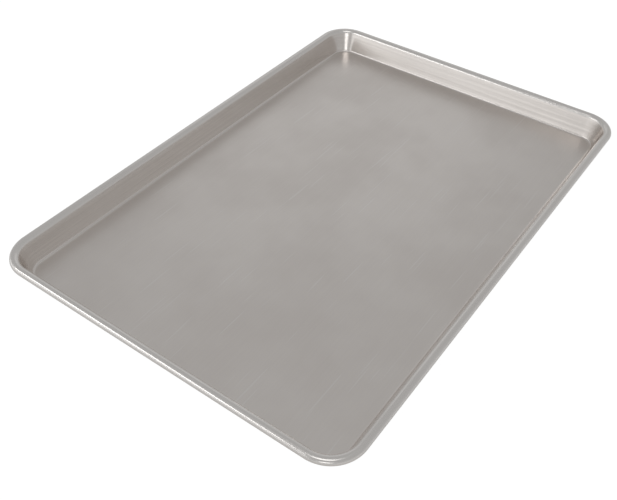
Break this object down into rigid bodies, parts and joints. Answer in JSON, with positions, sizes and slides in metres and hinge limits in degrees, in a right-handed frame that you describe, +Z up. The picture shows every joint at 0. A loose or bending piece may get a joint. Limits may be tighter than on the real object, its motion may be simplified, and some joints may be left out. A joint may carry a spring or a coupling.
{
  "type": "jelly roll pan",
  "caption": "Shallow aluminium jelly roll pan: flat floor, sloping walls, rounded corners and a rim rolled round a steel wire, for baking thin sheets of cake and other tray bakes.",
  "frame": {"origin": "centre of the flat base, on the surface the pan stands on", "axes": "+X along the pan's length, +Y across its width, +Z up out of the open side"},
  "size_m": [0.4064, 0.2794, 0.019],
  "materials": {
    "aluminium_sheet": "natural rolled and drawn sheet, satin",
    "galvanised_wire": "drawn and galvanised"
  },
  "bodies": {
    "root": {"pan_shell": "aluminium_sheet", "rim_wire": "galvanised_wire"}
  },
  "joints": []
}
